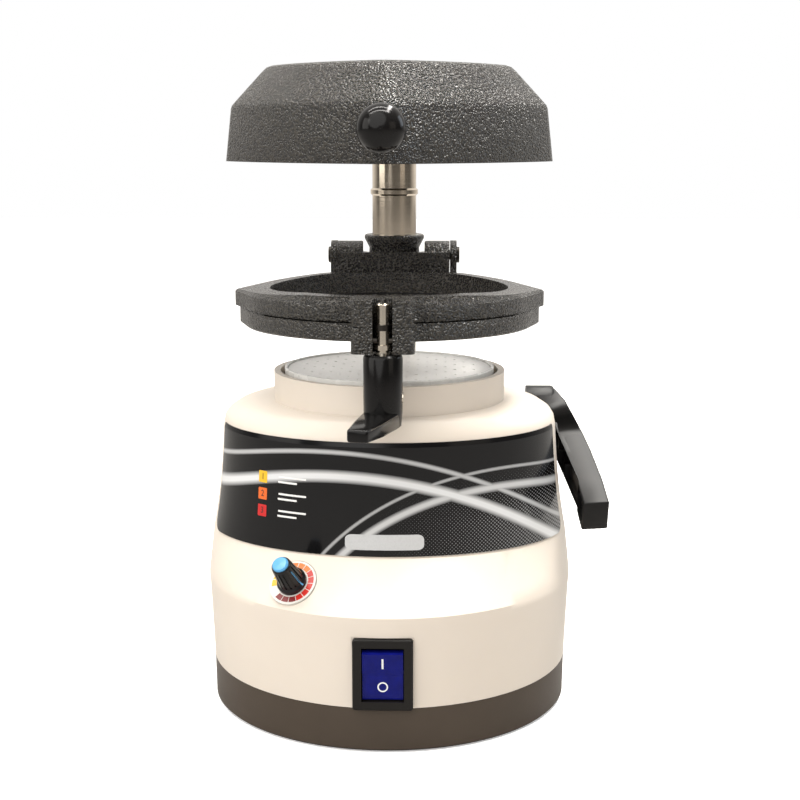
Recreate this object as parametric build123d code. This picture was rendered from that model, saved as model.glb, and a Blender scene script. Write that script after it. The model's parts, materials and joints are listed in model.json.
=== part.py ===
"""Dental vacuum former: round housing with a vacuum platform, a sliding sheet frame that
opens like a book, a swinging heater cover on a round post, and its levers and controls.

Millimetres. +Z is up, -Y is the operator's side, and the origin lies on the table under
the centre of the forming platform."""

import math
import os

from build123d import *

os.makedirs("parts", exist_ok=True)

# ---------------------------------------------------------------- driving sizes
BASE_R = 82.0            # housing radius at the table
SEAM_Z = 19.7            # joint between the dark base tray and the pale shell
CREASE_Z = 60.0          # top of the drum part of the shell
CREASE_R = 84.2
LABEL_Z0 = 80.5          # black label band on the waist of the shell
LABEL_Z1 = 130.0
LABEL_T = 0.5
LABEL_Y = -16.0          # rear ends of the band
WALL = 3.0
COLLAR_R = 53.0          # turned collar round the platform
COLLAR_IN = 50.0
COLLAR_Z = 152.6
CHAMBER_R = 48.1
POST_R = 11.0
POST_Y = 74.0
POST_Z0 = 63.0
POST_TOP = 228.9         # end of the fixed tube
RUN = 0.05               # radial play of the running fits
FRAME_IN = 54.3          # opening of both sheet frames
FRAME_R = 65.8
LOW_Z0, LOW_Z1 = 173.7, 181.4
UP_Z0, UP_Z1 = 182.0, 192.0
HINGE_Y, HINGE_Z, HINGE_PIN_R = 70.0, 199.5, 2.5
ROD_Y, ROD_R = -74.0, 2.8
SLOT_W = 8.2
COVER_Z0, COVER_CREASE, COVER_Z1 = 247.0, 271.5, 289.0
COVER_TIP, COVER_CORNER, COVER_SIDE = 73.5, 14.0, 62.5
LEVER_Y, LEVER_Z, SHAFT_R = 40.0, 128.2, 4.0
FAN_Y, FAN_R = 22.0, 33.0
SWITCH_Z = 35.5
DIAL_AT = Vector(-39.2, -65.4, 69.7)
DIAL_N = Vector(-0.27, -0.65, 0.71).normalized()
INLET_Z, INLET_Y = 36.0, 82.2


# ---------------------------------------------------------------- helpers
def cyl(r, z0, z1, x=0.0, y=0.0):
    return Pos(x, y, (z0 + z1) / 2) * Cylinder(r, z1 - z0)


def tube(r1, r0, z0, z1, x=0.0, y=0.0):
    return cyl(r1, z0, z1, x, y) - cyl(r0, z0 - 1, z1 + 1, x, y)


def cyl_x(r, x0, x1, y, z):
    return Pos((x0 + x1) / 2, y, z) * Rot(0, 90, 0) * Cylinder(r, x1 - x0)


def cyl_y(r, y0, y1, x, z):
    return Pos(x, (y0 + y1) / 2, z) * Rot(90, 0, 0) * Cylinder(r, y1 - y0)


def block(x0, x1, y0, y1, z0, z1):
    return Pos((x0 + x1) / 2, (y0 + y1) / 2, (z0 + z1) / 2) * Box(x1 - x0, y1 - y0, z1 - z0)


def turned(points, x=0.0, y=0.0):
    """Solid of revolution about a vertical axis from (radius, z) points."""
    face = make_face(Plane.XZ * Polyline(*points, close=True))
    return Pos(x, y, 0) * revolve(face, Axis.Z, 360)


def pill(x, y, length, width, z0, z1, turn=0.0):
    """Upright slot-shaped solid."""
    flat = Pos(x, y, z0) * Rot(0, 0, turn) * SlotOverall(length, width)
    return extrude(flat, z1 - z0)


def write(name, shape):
    shape.label = name
    export_step(shape, "parts/" + name + ".step")


def joined(shapes):
    """One compound of separate pieces."""
    solids = []
    for shape in shapes:
        solids.extend(shape.solids())
    return Compound(children=solids)


# ---------------------------------------------------------------- housing sections
def housing_section(z, a, b):
    """Front half ellipse and rear half circle at a height."""
    plane = Plane(origin=(0, 0, z), x_dir=(1, 0, 0), z_dir=(0, 0, 1))
    if abs(a - b) < 1e-6:
        front = Edge.make_circle(a, plane, 180, 360)
    else:
        front = Edge.make_ellipse(a, b, plane, 180, 360)
    rear = Edge.make_circle(a, plane, 0, 180)
    return Face(Wire([front, rear]))


WAIST = [(80.0, 82.0, 62.0), (90.0, 80.2, 61.7), (106.0, 78.2, 61.3), (128.0, 76.6, 61.0)]
SHOULDER = [(128.0, 76.6, 61.0), (132.4, 75.8, 60.4), (135.2, 74.2, 59.4), (138.0, 70.4, 57.9),
            (145.9, 54.0, 54.0)]


def housing(off):
    """Waist and shoulder of the housing, offset inwards by off."""
    ledge = [(CREASE_Z, CREASE_R, CREASE_R), WAIST[0]]
    parts = []
    for run, ruled in ((ledge, True), (WAIST, False), (SHOULDER, True)):
        rows = [housing_section(z, a - off, b - off) for z, a, b in run]
        parts.append(loft(rows, ruled=ruled))
    body = parts[0]
    for piece in parts[1:]:
        body = body + piece
    return body


# ---------------------------------------------------------------- base tray and its fittings
TRAY_BOSS = [(math.radians(a), 70.0) for a in (45, 135, 225, 315)]


def boss_points():
    return [(r * math.cos(a), r * math.sin(a)) for a, r in TRAY_BOSS]


def chamber_points():
    return [(50.0 * math.cos(math.radians(a)), 50.0 * math.sin(math.radians(a)))
            for a in (30, 150, 210, 330)]


def base_tray():
    tray = turned([(0, 0.6), (81.0, 0.6), (BASE_R, 1.6), (82.4, SEAM_Z), (0, SEAM_Z)])
    tray = tray - turned([(0, 3.6), (79.0, 3.6), (79.3, SEAM_Z + 1), (0, SEAM_Z + 1)])
    tray = tray - cyl(60.2, 0, 2.0)
    tray = tray + tube(30.0, 26.0, 3.6, 20.0, 0, FAN_Y)
    for x, y in boss_points():
        tray = tray + cyl(6.0, 3.6, 8.0, x, y)
        tray = tray - cyl(2.1, 0, 9.0, x, y) - cyl(4.2, 0, 4.0, x, y)
    for i in range(12):
        turn = i * 30 + 15
        a = math.radians(turn)
        tray = tray - pill(65.5 * math.cos(a), 65.5 * math.sin(a), 14.0, 2.4, 0, 4.6, turn + 90)
    return tray


def rubber_pad():
    pad = cyl(60.0, 0, 2.0)
    for r in (24.0, 42.0):
        pad = pad - tube(r + 1.5, r, -1, 0.8)
    return pad


def base_screws():
    out = []
    for x, y in boss_points():
        screw = cyl(3.9, 1.6, 4.0, x, y) + cyl(2.0, 4.0, 17.0, x, y)
        screw = screw - block(x - 2.8, x + 2.8, y - 0.5, y + 0.5, 1, 2.6)
        screw = screw - block(x - 0.5, x + 0.5, y - 2.8, y + 2.8, 1, 2.6)
        out.append(screw)
    return joined(out)


# ---------------------------------------------------------------- shell
def shell():
    drum = turned([(0, SEAM_Z + 0.2), (82.4, SEAM_Z + 0.2), (83.9, 54.0), (CREASE_R, 57.5),
                   (CREASE_R, CREASE_Z), (0, CREASE_Z)])
    body = drum + housing(0) + cyl(COLLAR_R, 144.0, COLLAR_Z)
    body = body + cyl(18.0, CREASE_Z - 2, 146.0, 0, POST_Y)
    hollow = turned([(0, 19.0), (79.4, 19.0), (80.9, 54.0), (81.2, CREASE_Z - 1.4),
                     (0, CREASE_Z - 1.4)])
    rows = [housing_section(z, a, b) for z, a, b in
            ((CREASE_Z - 1.4, 81.2, 81.2), (79.0, 79.0, 59.2))]
    hollow = hollow + loft(rows, ruled=True)
    rows = [housing_section(z, a, b) for z, a, b in
            ((79.0, 79.0, 59.2), (106.0, 75.2, 58.3), (129.5, 73.6, 57.9))]
    hollow = hollow + loft(rows, ruled=True)
    rows = [housing_section(z, a, b) for z, a, b in
            ((129.5, 73.6, 57.9), (135.0, 68.8, 55.6), (142.4, 51.5, 51.5))]
    hollow = hollow + loft(rows, ruled=True)
    hollow = hollow - cyl(18.0, CREASE_Z - 2, 147.0, 0, POST_Y)
    body = body - hollow
    body = body - cyl(COLLAR_IN, 138.0, COLLAR_Z + 1)
    # post socket
    body = body - cyl(POST_R + 4.0, POST_Z0, 143.0, 0, POST_Y)
    body = body - cyl(POST_R + 0.1, 142.0, 147.0, 0, POST_Y)
    body = body - cyl(4.2, 50.0, POST_Z0 + 1, 0, POST_Y)
    # screw bosses that stand on the tray
    for x, y in boss_points():
        rib = block(*sorted((x, x * 1.285)), y - 1, y + 1, 20.2, 40.0)
        foot = cyl(5.5, 8.0, 40.0, x, y) + rib
        body = body + (foot - cyl(2.05, 0, 18.0, x, y))
    # lip under the collar that the chamber is screwed to
    body = body + tube(COLLAR_R, CHAMBER_R + 0.2, 141.0, 143.5)
    for x, y in chamber_points():
        body = body - cyl(1.1, 140.0, 143.0, x, y)
    # posts of the control board
    for x in (-29, 29):
        for z in (96.0, 122.0):
            body = body + cyl_y(2.5, -56.0, -45.6, x, z)
    # seat and opening of the rocker switch
    body = body - block(-13.2, 13.2, -90, -82.5, SWITCH_Z - 16.0, SWITCH_Z + 16.0)
    body = body - block(-11.1, 11.1, -90, -70, SWITCH_Z - 13.9, SWITCH_Z + 13.9)
    # seat and hole of the dial
    seat = Plane(origin=DIAL_AT, z_dir=DIAL_N)
    body = body - seat * Pos(0, 0, 6.0 - 1.0) * Cylinder(10.8, 12.0)
    body = body - seat * Cylinder(3.6, 30.0)
    # seat and bore of the side lever
    boss = cyl_x(13.5, 56.0, 64.8, LEVER_Y, LEVER_Z)
    body = body + (boss & (housing(1.0)))
    body = body - cyl_x(11.4, 64.8, 100.0, LEVER_Y, LEVER_Z)
    body = body - cyl_x(7.0, 50.0, 80.0, LEVER_Y, LEVER_Z)
    # seat and opening of the mains inlet
    body = body - block(-17.2, 17.2, INLET_Y, 95.0, INLET_Z - 13.2, INLET_Z + 13.2)
    body = body - block(-14.2, 14.2, 70.0, 95.0, INLET_Z - 10.2, INLET_Z + 10.2)
    return body


def label_band():
    wide = [housing_section(z, a + LABEL_T, b + LABEL_T) for z, a, b in WAIST]
    thin = [housing_section(z, a, b) for z, a, b in WAIST]
    top = [housing_section(z, a + LABEL_T, b + LABEL_T) for z, a, b in SHOULDER[:2]]
    top_thin = [housing_section(z, a, b) for z, a, b in SHOULDER[:2]]
    outer = loft(wide) + loft(top, ruled=True)
    inner = loft(thin) + loft(top_thin, ruled=True)
    band = outer - inner
    z0, z1 = LABEL_Z0, LABEL_Z1
    side = make_face(Plane.YZ * Polyline((-95, z0), (LABEL_Y, z0), (LABEL_Y, z1), (-95, z1),
                                         close=True))
    corner = side.vertices().sort_by(Axis.Y)[-2:].sort_by(Axis.Z)[0]
    side = fillet(corner, 6.0)
    mask = extrude(side, 95, both=True)
    return band & mask


# ---------------------------------------------------------------- vacuum path
def platform_holes():
    pitch = 8.6
    row = pitch * math.sqrt(3) / 2
    out = []
    for j in range(-5, 6):
        shift = pitch / 2 if j % 2 else 0.0
        for i in range(-6, 7):
            x, y = i * pitch + shift, j * row
            if math.hypot(x, y) < 43.0:
                out.append((x, y))
    return out


def platform():
    plate = cyl(46.4, 151.4, 153.4)
    for x, y in platform_holes():
        plate = plate - cyl(0.8, 151, 154, x, y)
    return plate


def platform_ring():
    return turned([(46.6, 150.0), (48.1, 150.0), (48.1, 153.8), (47.7, 154.2), (47.0, 154.2),
                   (46.6, 153.8)])


def vacuum_chamber():
    bowl = cyl(CHAMBER_R, 139.0, 150.0) + cyl(51.6, 139.0, 141.0)
    bowl = bowl - cyl(45.4, 141.0, 151.0)
    bowl = bowl + tube(46.6, 45.0, 146.0, 151.4)
    bowl = bowl + cyl(5.0, 140.5, 151.4) + tube(38.0, 36.4, 140.5, 151.4)
    bowl = bowl - block(-40, 40, -4, 4, 143.5, 149.0) - block(-4, 4, -40, 40, 143.5, 149.0)
    bowl = bowl + cyl(5.0, 140.5, 151.4)
    bowl = bowl - cyl(SEAT_R, 138, 149, 0, SEAT_Y)
    for x, y in chamber_points():
        bowl = bowl - cyl(1.1, 138, 140.9 + 1, x, y)
    return bowl


def chamber_screws():
    out = []
    for x, y in chamber_points():
        out.append(cyl(1.9, 137.6, 139.0, x, y) + cyl(1.05, 139.0, 142.6, x, y))
    return joined(out)


VALVE_Y0, VALVE_Y1, VALVE_Z0, VALVE_Z1 = 14.0, 50.0, 105.0, 139.0
SEAT_Y, SEAT_R = 28.0, 6.5


def valve_housing():
    box = block(-17, 17, VALVE_Y0, VALVE_Y1, VALVE_Z0, VALVE_Z1)
    box = fillet(box.edges().filter_by(Axis.Z), 3.0)
    box = box - block(-14, 14, VALVE_Y0 + 3, VALVE_Y1 - 3, VALVE_Z0 + 2.4, 134.0)
    box = box - cyl(SEAT_R, 130, 140, 0, SEAT_Y) - cyl(9.0, 100, 110, 0, 27.0)
    box = box + tube(SEAT_R + 1.5, SEAT_R, 131.2, 134.0, 0, SEAT_Y)
    box = box - cyl_x(SHAFT_R + RUN, -20, 20, LEVER_Y, LEVER_Z)
    return box


def valve_gasket():
    return tube(13.0, 9.5, 104.0, VALVE_Z0, 0, 27.0)


def fan_housing():
    can = cyl(FAN_R, 74.0, 104.0, 0, FAN_Y) - cyl(FAN_R - 2.5, 76.5, 101.5, 0, FAN_Y)
    can = can - cyl(9.5, 100, 105, 0, 27.0) - cyl(5.0, 73, 78, 0, FAN_Y)
    for i in range(10):
        a = math.radians(18 + i * 36)
        x, y = FAN_R * math.cos(a), FAN_Y + FAN_R * math.sin(a)
        can = can - Pos(x, y, 86.0) * Rot(0, 0, math.degrees(a)) * Box(8.0, 7.0, 12.0)
    return can


def fan_impeller():
    wheel = cyl(30.0, 79.0, 80.6, 0, FAN_Y) + cyl(7.0, 79.0, 92.0, 0, FAN_Y)
    for i in range(9):
        blade = Pos(18.0, 0, 88.0) * Rot(0, 0, 24) * Box(22.0, 1.4, 14.8)
        wheel = wheel + Pos(0, FAN_Y, 0) * Rot(0, 0, 40 * i) * blade
    wheel = wheel + tube(30.0, 12.0, 95.4, 97.0, 0, FAN_Y)
    return wheel - cyl(2.5, 78, 93, 0, FAN_Y)


def fan_motor():
    can = cyl(28.0, 26.0, 74.0, 0, FAN_Y)
    can = fillet(can.edges().filter_by(GeomType.CIRCLE), 2.0)
    can = can + cyl(2.5, 74.0, 92.0, 0, FAN_Y)
    for i in range(8):
        a = i * 45
        slot = Pos(0, FAN_Y, 50) * Rot(0, 0, a) * Pos(27.6, 0, 0) * Box(3.0, 6.0, 26.0)
        can = can - slot
    return can


def motor_ring():
    return tube(30.0, 22.0, 20.0, 26.0, 0, FAN_Y)


# ---------------------------------------------------------------- electrics
def control_board():
    board = block(-32, 32, -45.6, -44.0, 92.0, 126.0)
    board = board + block(-24, -10, -44.0, -36.0, 100, 114) + block(-4, 14, -44.0, -38.0, 96, 108)
    board = board + cyl_y(5.0, -44.0, -33.0, 22, 116) + block(16, 30, -44, -39, 96, 104)
    return board


def transformer():
    core = block(-24, 24, -49, -15, 6.0, 44.0)
    core = fillet(core.edges().filter_by(Axis.Z), 1.5)
    coil = block(-17, 17, -51, -13, 12.0, 38.0)
    foot = block(-34, 34, -45, -19, 3.6, 6.0)
    return core + coil + foot


def potentiometer():
    seat = Plane(origin=DIAL_AT, z_dir=DIAL_N)
    body = seat * Pos(0, 0, -10.2) * Cylinder(8.0, 8.0)
    neck = seat * Pos(0, 0, -3.6) * Cylinder(3.4, 5.2)
    tabs = seat * Pos(0, -9.0, -11.0) * Box(8.0, 5.0, 1.0)
    bore = seat * Pos(0, 0, -5.0) * Cylinder(2.0 + RUN, 18.1)
    return body + neck + tabs - bore


def pot_shaft():
    seat = Plane(origin=DIAL_AT, z_dir=DIAL_N)
    return seat * Pos(0, 0, 0.6) * Cylinder(2.0, 19.0)


def dial_plate():
    seat = Plane(origin=DIAL_AT, z_dir=DIAL_N)
    plate = seat * Pos(0, 0, -0.4) * Cylinder(10.5, 1.2)
    return plate - seat * Cylinder(3.5, 10.0)


def control_knob():
    seat = Plane(origin=DIAL_AT, z_dir=DIAL_N)
    rows = [(0, 0.5), (6.5, 0.5), (6.5, 2.2), (5.6, 3.2), (4.3, 14.4), (3.9, 15.0), (3.6, 15.0),
            (3.6, 14.2), (0, 14.2)]
    knob = revolve(make_face(Plane.XZ * Polyline(*rows, close=True)), Axis.Z, 360)
    for i in range(16):
        a = i * 22.5 + 11.25
        groove = Rot(0, 0, a) * Pos(5.2, 0, 8.8) * Rot(0, -6.6, 0) * Box(1.6, 0.7, 10.4)
        knob = knob - groove
    knob = knob - Pos(0, 0, 5.0) * Cylinder(2.0, 10.2)
    return seat * knob


def knob_cap():
    seat = Plane(origin=DIAL_AT, z_dir=DIAL_N)
    cap = revolve(make_face(Plane.XZ * Polyline((0, 14.2), (3.55, 14.2), (3.55, 15.6), (3.0, 16.2),
                                                (0, 16.4), close=True)), Axis.Z, 360)
    return seat * cap


def switch_housing():
    z0, z1 = SWITCH_Z - 15.6, SWITCH_Z + 15.6
    bezel = block(-12.8, 12.8, -84.9, -82.5, z0, z1)
    bezel = fillet(bezel.edges().filter_by(Axis.Y), 1.2)
    bezel = chamfer(bezel.faces().sort_by(Axis.Y)[0].edges(), 0.5)
    body = bezel + block(-10.9, 10.9, -82.5, -64.0, SWITCH_Z - 13.7, SWITCH_Z + 13.7)
    window = block(-9.0, 9.0, -90.0, -74.0, SWITCH_Z - 11.8, SWITCH_Z + 11.8)
    body = body - window
    for z in (-8.0, 0.0, 8.0):
        body = body + block(-3.2, 3.2, -64.0, -56.0, SWITCH_Z + z - 0.4, SWITCH_Z + z + 0.4)
    return body - cyl_x(1.2 + RUN, -10.4, 10.4, -79.6, SWITCH_Z)


def rocker_paddle():
    """Two inclined faces that meet at the middle, pressed in at the upper end."""
    z, y = SWITCH_Z, -79.6
    rows = [(-84.6, z - 10.6), (-83.6, z), (-84.6, z + 10.6), (-80.4, z + 10.6), (-77.0, z + 3.0),
            (-77.0, z - 3.0), (-80.4, z - 10.6)]
    body = extrude(make_face(Plane.YZ * Polyline(*rows, close=True)), 8.6, both=True)
    body = body + cyl_x(1.2, -10.3, 10.3, y, z)
    return Pos(0, y, z) * Rot(9, 0, 0) * Pos(0, -y, -z) * body


def power_inlet():
    z = INLET_Z
    flange = block(-16.8, 16.8, INLET_Y, INLET_Y + 2.0, z - 12.8, z + 12.8)
    flange = fillet(flange.edges().filter_by(Axis.Y), 2.0)
    body = flange + block(-13.9, 13.9, INLET_Y - 20.0, INLET_Y, z - 9.9, z + 9.9)
    well = block(-12.1, 12.1, INLET_Y - 16.0, INLET_Y + 3, z - 8.0, z + 8.6)
    body = body - well
    for x, dz in ((0.0, 2.6), (-7.0, -2.0), (7.0, -2.0)):
        body = body + block(x - 1.0, x + 1.0, INLET_Y - 18.0, INLET_Y - 4.0, z + dz - 2.0, z + dz + 2.0)
    for x in (-8.0, 0.0, 8.0):
        body = body + block(x - 3.1, x + 3.1, INLET_Y - 28.0, INLET_Y - 20.0, z - 0.4, z + 0.4)
    return body


# ---------------------------------------------------------------- post
def post():
    body = tube(POST_R, 8.1, POST_Z0, POST_TOP, 0, POST_Y)
    plug = cyl(8.1, POST_Z0, POST_Z0 + 12.0, 0, POST_Y) - cyl(4.0, POST_Z0 - 1, POST_Z0 + 10, 0, POST_Y)
    return body + plug


def post_bushes():
    low = tube(POST_R + 4.0, POST_R, POST_Z0, POST_Z0 + 14.0, 0, POST_Y)
    high = tube(POST_R + 4.0, POST_R, 127.0, 143.0, 0, POST_Y)
    return joined([low, high])


def post_bolt():
    head = extrude(Pos(0, POST_Y, 52.0) * RegularPolygon(6.3, 6), 5.4)
    washer = cyl(6.7, 57.4, 58.0, 0, POST_Y)
    return head + washer + cyl(4.0, 58.0, POST_Z0 + 9.0, 0, POST_Y)


def post_ring():
    return turned([(8.15, POST_TOP), (POST_R, POST_TOP), (POST_R + 0.9, POST_TOP + 0.9),
                   (POST_R + 0.9, 231.7), (POST_R, 232.6), (8.15, 232.6)], 0, POST_Y)


def post_upper():
    return tube(POST_R, 8.0, 232.7, 268.0, 0, POST_Y)


def post_spigot():
    """Pin of the swinging part, 17 mm deep in the fixed tube."""
    return cyl(8.05, POST_TOP - 17.0, 232.65, 0, POST_Y) + cyl(8.0, 232.65, 266.0, 0, POST_Y)


# ---------------------------------------------------------------- sheet frames
def frame_plan(r, tip, corner):
    """Circle with a rounded beak left and right."""
    c = tip - corner
    t = math.acos((r - corner) / c)
    plan = Circle(r)
    for s in (-1, 1):
        pts = [(s * r * math.cos(t), r * math.sin(t)),
               (s * (c + corner * math.cos(t)), corner * math.sin(t)),
               (s * (c + corner * math.cos(t)), -corner * math.sin(t)),
               (s * r * math.cos(t), -r * math.sin(t))]
        plan = plan + make_face(Polyline(*pts, close=True)) + Pos(s * c, 0) * Circle(corner)
    return plan


def slab(plan, z0, z1):
    return extrude(Pos(0, 0, z0) * plan, z1 - z0)


def ears(z0, z1, front, half):
    """Pair of ears at the front with the slot between them."""
    flat = Pos(0, (front - 58.0) / 2) * RectangleRounded(2 * half, -58.0 - front, 3.0)
    return extrude(Pos(0, 0, z0) * flat, z1 - z0)


def ear_slot(z0, z1):
    return block(-SLOT_W / 2, SLOT_W / 2, -90, -73.1, z0, z1) + cyl(SLOT_W / 2, z0, z1, 0, -73.1)


def frame_lower():
    ring = slab(frame_plan(FRAME_R, 68.5, 4.0), LOW_Z0, LOW_Z1)
    ring = chamfer(ring.faces().sort_by(Axis.Z)[0].edges(), 0.8)
    ring = ring + ears(170.5, LOW_Z1, -79.0, 13.1)
    ring = ring + block(-31.4, 31.4, 52.0, 76.0, LOW_Z0, LOW_Z1)
    ring = ring - cyl(FRAME_IN, 160, 200)
    boss = turned([(0, LOW_Z0), (13.6, LOW_Z0), (12.6, 203.0), (15.0, 207.6), (15.0, 208.9),
                   (14.4, 209.5), (0, 209.5)], 0, POST_Y)
    ring = ring + boss
    for s in (-1, 1):
        x0, x1 = sorted((s * 28.1, s * 31.4))
        cheek = block(x0, x1, 63.5, 76.0, LOW_Z0, HINGE_Z) + cyl_x(7.2, x0, x1, HINGE_Y, HINGE_Z)
        ring = ring + (cheek - block(-40, 40, 77.3, 90, 160, 215))
    ring = ring - cyl(POST_R + RUN, 160, 220, 0, POST_Y)
    ring = ring - ear_slot(160, 200)
    ring = ring - cyl_x(HINGE_PIN_R, -40, -25, HINGE_Y, HINGE_Z)
    ring = ring - cyl_x(HINGE_PIN_R, 25, 40, HINGE_Y, HINGE_Z)
    ring = ring - cyl_x(1.5, -14, 14, ROD_Y, 175.6)
    return ring


def frame_upper():
    ring = slab(frame_plan(FRAME_R - 0.2, 70.6, 4.0), UP_Z0, UP_Z1)
    ring = chamfer(ring.faces().sort_by(Axis.Z)[-1].edges(), 3.6, 3.6)
    for s in (-1, 1):
        wedge = Pos(s * 34.0, 0, UP_Z1) * Rot(0, s * 4.4, 0) * Pos(s * 30, 0, 10) * Box(60, 200, 20)
        ring = ring - wedge
    ring = ring + ears(181.6, 192.5, -79.0, 13.0)
    ring = ring + block(-27.8, 27.8, 57.0, 66.0, UP_Z0, 201.5)
    for s in (-1, 1):
        x0, x1 = sorted((s * 15.3, s * 27.8))
        ring = ring + cyl_x(7.0, x0, x1, HINGE_Y, HINGE_Z)
        ring = ring + block(x0, x1, 62.0, HINGE_Y, HINGE_Z - 6.0, HINGE_Z + 2.0)
    ring = ring - cyl(FRAME_IN, 160, 215)
    ring = ring - cyl(15.9, 160, 195, 0, POST_Y) - cyl(16.4, 194, 215, 0, POST_Y)
    ring = ring - ear_slot(160, 200)
    ring = ring - cyl_x(HINGE_PIN_R + RUN, -40, 40, HINGE_Y, HINGE_Z)
    return ring


def frame_seal():
    """Thin rubber ring on the lower frame that grips the sheet."""
    return tube(57.6, 55.0, LOW_Z1, LOW_Z1 + 0.4)


def hinge_pins():
    out = []
    for s in (-1, 1):
        a, b = sorted((s * 15.6, s * 31.4))
        pin = cyl_x(HINGE_PIN_R, a, b, HINGE_Y, HINGE_Z)
        a, b = sorted((s * 31.4, s * 32.8))
        out.append(pin + cyl_x(4.0, a, b, HINGE_Y, HINGE_Z))
    return joined(out)


# ---------------------------------------------------------------- latch
def clamp_rod():
    rod = cyl(ROD_R, 147.0, 189.0, 0, ROD_Y) + cyl(3.0, 189.0, 191.0, 0, ROD_Y)
    rod = chamfer(rod.faces().sort_by(Axis.Z)[-1].edges(), 0.5)
    rod = rod + cyl(3.9, 172.0, 174.0, 0, ROD_Y)
    return rod - cyl_x(1.5, -10, 10, ROD_Y, 175.6)


def rod_pin():
    return cyl_x(1.5, -12.6, 12.6, ROD_Y, 175.6)


def rod_nut():
    return tube(3.9, ROD_R, 180.0, 182.4, 0, ROD_Y)


CLAMP_TURN = -11.0


def clamp_lever():
    hub = turned([(0, 139.4), (6.2, 139.4), (7.0, 140.4), (7.65, 150.0), (7.65, 168.6), (7.0, 170.2),
                  (0, 170.2)], 0, ROD_Y)
    arm = loft([Plane(origin=(0, -3.0, 145.2), x_dir=(1, 0, 0), z_dir=(0, -1, 0)) * RectangleRounded(12.4, 10.6, 3.0),
                Plane(origin=(0, -20.0, 144.2), x_dir=(1, 0, 0), z_dir=(0, -1, 0)) * RectangleRounded(9.0, 7.4, 2.6),
                Plane(origin=(0, -36.6, 143.2), x_dir=(1, 0, 0), z_dir=(0, -1, 0)) * RectangleRounded(6.4, 4.8, 2.0)])
    arm = Pos(0, ROD_Y, 0) * Rot(0, 0, CLAMP_TURN) * arm
    return hub + arm - cyl(ROD_R + RUN, 145.8, 180, 0, ROD_Y) - cyl_x(2.2, 3.4, 12, ROD_Y, 146.0 + 6.0)


def clamp_button():
    return cyl_x(2.15, 3.5, 8.4, ROD_Y, 152.0)


# ---------------------------------------------------------------- heater cover
def cover_plan(tip, corner, side):
    """Square turned on its corner, with bulging sides and rounded corners."""
    d = tip - corner
    m = side
    k = (d * d - (m - corner) ** 2) / (2 * (m - corner) - math.sqrt(2) * d)
    big = m + k
    edges = []
    for i in range(4):
        mid = math.radians(45 + 90 * i)
        ox, oy = -k * math.cos(mid), -k * math.sin(mid)
        ends = []
        for a in (90 * i, 90 * (i + 1)):
            cx, cy = d * math.cos(math.radians(a)), d * math.sin(math.radians(a))
            n = math.hypot(cx - ox, cy - oy)
            ends.append((ox + (cx - ox) / n * big, oy + (cy - oy) / n * big))
        edges.append((ends[0], (m * math.cos(mid), m * math.sin(mid)), ends[1]))
    parts = []
    for i in range(4):
        parts.append(ThreePointArc(*edges[i]))
        a = math.radians(90 * (i + 1))
        tip_point = (tip * math.cos(a), tip * math.sin(a))
        parts.append(ThreePointArc(edges[i][2], tip_point, edges[(i + 1) % 4][0]))
    return make_face(Curve() + parts)


def cover_rows(off, rows):
    out = []
    for z, tip in rows:
        t = tip - off
        ratio = t / COVER_TIP
        out.append(Pos(0, 0, z) * cover_plan(t, COVER_CORNER * ratio, COVER_SIDE * ratio))
    return loft(out, ruled=True)


def heater_cover():
    z0, zc, z1 = COVER_Z0, COVER_CREASE, COVER_Z1
    body = cover_rows(0, [(z0, 73.5), (zc - 1.4, 70.9), (zc, 70.4), (zc + 1.4, 69.2), (z1 - 2.6, 56.6),
                          (z1 - 0.8, 54.6), (z1, 52.2)])
    boss = turned([(0, z0), (15.8, z0), (15.4, 280.0), (14.4, 282.0), (0, 282.0)], 0, POST_Y)
    hollow = cover_rows(0, [(z0 - 1, 70.6), (zc - 1, 67.8), (z1 - 4.4, 53.4), (z1 - 3.4, 50.0)])
    hollow = hollow - cyl(15.8, z0 - 2, 290, 0, POST_Y)
    body = body + boss - hollow
    body = body - cyl(POST_R, 240, 268.0, 0, POST_Y)
    body = body - cyl_y(3.0, -90, -60, 0, 261.2)
    for x, y in ((26, 26), (-26, 26), (26, -26), (-26, -26)):
        body = body + (cyl(4.0, 268.2, z1 - 3.0, x, y) - cyl(1.5, 268, 280, x, y))
    return body


def reflector():
    outer = cover_rows(0, [(248.0, 68.6), (266.6, 66.0)])
    inner = cover_rows(0, [(247.5, 67.4), (265.4, 64.8)])
    pan = outer - inner
    pan = pan - cyl(17.4, 240, 290, 0, POST_Y)
    pan = pan - cyl_y(7.5, -80, -60, 0, 261.2)
    return pan


def element_rows():
    return ((42.0, 258.5), (26.0, 258.5))


def heating_element():
    out = None
    for r, z in element_rows():
        rod = Plane.XZ * Pos(r, z) * RegularPolygon(3.4, 12, rotation=15)
        ring = Rot(0, 0, 50) * revolve(rod, Axis.Z, 360)
        out = ring if out is None else out + ring
    out = out + cyl_x(3.0, 26.0, 42.0, 0, 258.5)
    for x in (-42.0, -26.0):
        out = out + cyl(2.6, 257.0, 276.0, x, 0)
    return out


def reflector_pan():
    pan = reflector()
    for x in (-42.0, -26.0):
        pan = pan - cyl(6.0, 260, 270, x, 0)
    for x, y in ((26, 26), (-26, 26), (26, -26), (-26, -26)):
        pan = pan - cyl(1.7, 260, 270, x, y)
    return pan


def insulators():
    out = []
    for x in (-42.0, -26.0):
        out.append(tube(6.0, 3.0, 264.2, 272.0, x, 0) - tube(7.0, 4.6, 263, 265.4, x, 0))
    return joined(out)


def terminal_block():
    return block(-20, -4, -10, 10, 270.0, 278.0) - cyl(1.6, 269, 279, -12, 5) - cyl(1.6, 269, 279, -12, -5)


def cover_screws():
    out = []
    for x, y in ((26, 26), (-26, 26), (26, -26), (-26, -26)):
        out.append(cyl(3.0, 263.6, 265.4, x, y) + cyl(1.45, 265.4, 276.0, x, y))
    return joined(out)


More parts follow.
